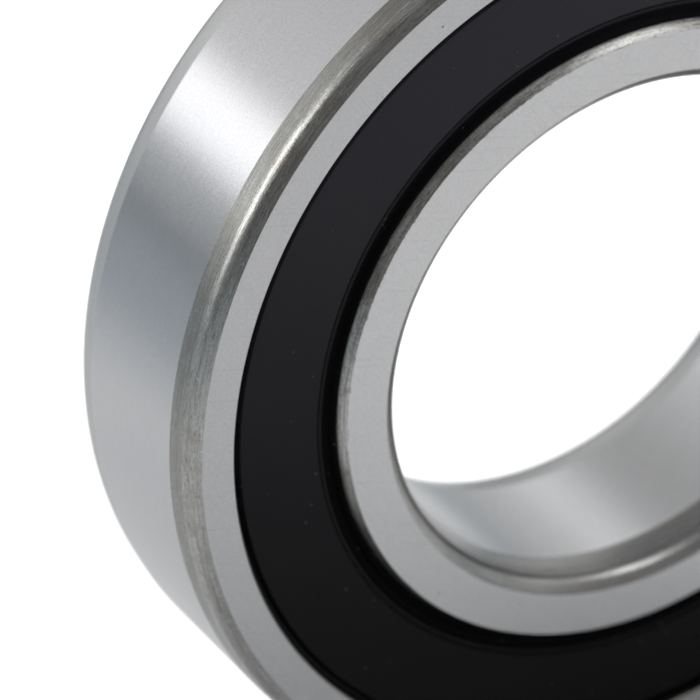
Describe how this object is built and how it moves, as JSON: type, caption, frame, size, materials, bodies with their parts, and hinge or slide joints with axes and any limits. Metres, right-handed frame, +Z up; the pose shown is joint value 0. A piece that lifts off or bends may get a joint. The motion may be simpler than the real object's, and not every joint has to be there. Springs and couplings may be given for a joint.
{
  "type": "ball bearing",
  "caption": "Sealed deep-groove ball bearing: ground outer and inner rings, balls in a riveted pressed-steel cage, and a black rubber contact seal on each side.",
  "frame": {"origin": "middle of the bearing, on the shaft axis", "axes": "Y is the shaft axis and -Y is the front side; the bearing stands on its rim, with +Z up"},
  "size_m": [0.085, 0.019, 0.085],
  "materials": {
    "outer_ring": "ground bearing steel, turned corners",
    "inner_ring": "ground bearing steel, turned nose",
    "balls": "polished bearing steel",
    "cage": "pressed sheet steel",
    "rivets": "cold-headed steel",
    "seal_insert": "pressed sheet steel",
    "seal_rubber": "moulded nitrile rubber, satin"
  },
  "bodies": {
    "outer_ring": {"outer_ring": "outer_ring", "seal_rubber_front": "seal_rubber", "seal_rubber_rear": "seal_rubber", "seal_insert_front": "seal_insert", "seal_insert_rear": "seal_insert"},
    "inner_ring": {"inner_ring": "inner_ring"},
    "cage": {"cage_half_front": "cage", "cage_half_rear": "cage", "rivet_01": "rivets", "rivet_02": "rivets", "rivet_03": "rivets", "rivet_04": "rivets", "rivet_05": "rivets", "rivet_06": "rivets", "rivet_07": "rivets", "rivet_08": "rivets", "rivet_09": "rivets"},
    "ball_01": {"ball_01": "balls"},
    "ball_02": {"ball_02": "balls"},
    "ball_03": {"ball_03": "balls"},
    "ball_04": {"ball_04": "balls"},
    "ball_05": {"ball_05": "balls"},
    "ball_06": {"ball_06": "balls"},
    "ball_07": {"ball_07": "balls"},
    "ball_08": {"ball_08": "balls"},
    "ball_09": {"ball_09": "balls"}
  },
  "joints": [
    {"name": "inner_spin", "type": "hinge", "parent": "outer_ring", "child": "inner_ring", "pos_m": [0, 0, 0], "axis": [0, 1, 0], "continuous": true},
    {"name": "cage_spin", "type": "hinge", "parent": "outer_ring", "child": "cage", "pos_m": [0, 0, 0], "axis": [0, 1, 0], "continuous": true},
    {"name": "ball_01_spin", "type": "hinge", "parent": "cage", "child": "ball_01", "pos_m": [0.0325, 0, 0], "axis": [0, 1, 0], "continuous": true},
    {"name": "ball_02_spin", "type": "hinge", "parent": "cage", "child": "ball_02", "pos_m": [0.0249, 0, 0.02089], "axis": [0, 1, 0], "continuous": true},
    {"name": "ball_03_spin", "type": "hinge", "parent": "cage", "child": "ball_03", "pos_m": [0.00564, 0, 0.03201], "axis": [0, 1, 0], "continuous": true},
    {"name": "ball_04_spin", "type": "hinge", "parent": "cage", "child": "ball_04", "pos_m": [-0.01625, 0, 0.02815], "axis": [0, 1, 0], "continuous": true},
    {"name": "ball_05_spin", "type": "hinge", "parent": "cage", "child": "ball_05", "pos_m": [-0.03054, 0, 0.01112], "axis": [0, 1, 0], "continuous": true},
    {"name": "ball_06_spin", "type": "hinge", "parent": "cage", "child": "ball_06", "pos_m": [-0.03054, 0, -0.01112], "axis": [0, 1, 0], "continuous": true},
    {"name": "ball_07_spin", "type": "hinge", "parent": "cage", "child": "ball_07", "pos_m": [-0.01625, 0, -0.02815], "axis": [0, 1, 0], "continuous": true},
    {"name": "ball_08_spin", "type": "hinge", "parent": "cage", "child": "ball_08", "pos_m": [0.00564, 0, -0.03201], "axis": [0, 1, 0], "continuous": true},
    {"name": "ball_09_spin", "type": "hinge", "parent": "cage", "child": "ball_09", "pos_m": [0.0249, 0, -0.02089], "axis": [0, 1, 0], "continuous": true}
  ],
  "couplings": [
    {"joint": "cage_spin", "follows": "inner_spin", "ratio": 0.40231},
    {"joint": "ball_01_spin", "follows": "inner_spin", "ratio": -2.4614},
    {"joint": "ball_02_spin", "follows": "inner_spin", "ratio": -2.4614},
    {"joint": "ball_03_spin", "follows": "inner_spin", "ratio": -2.4614},
    {"joint": "ball_04_spin", "follows": "inner_spin", "ratio": -2.4614},
    {"joint": "ball_05_spin", "follows": "inner_spin", "ratio": -2.4614},
    {"joint": "ball_06_spin", "follows": "inner_spin", "ratio": -2.4614},
    {"joint": "ball_07_spin", "follows": "inner_spin", "ratio": -2.4614},
    {"joint": "ball_08_spin", "follows": "inner_spin", "ratio": -2.4614},
    {"joint": "ball_09_spin", "follows": "inner_spin", "ratio": -2.4614}
  ]
}
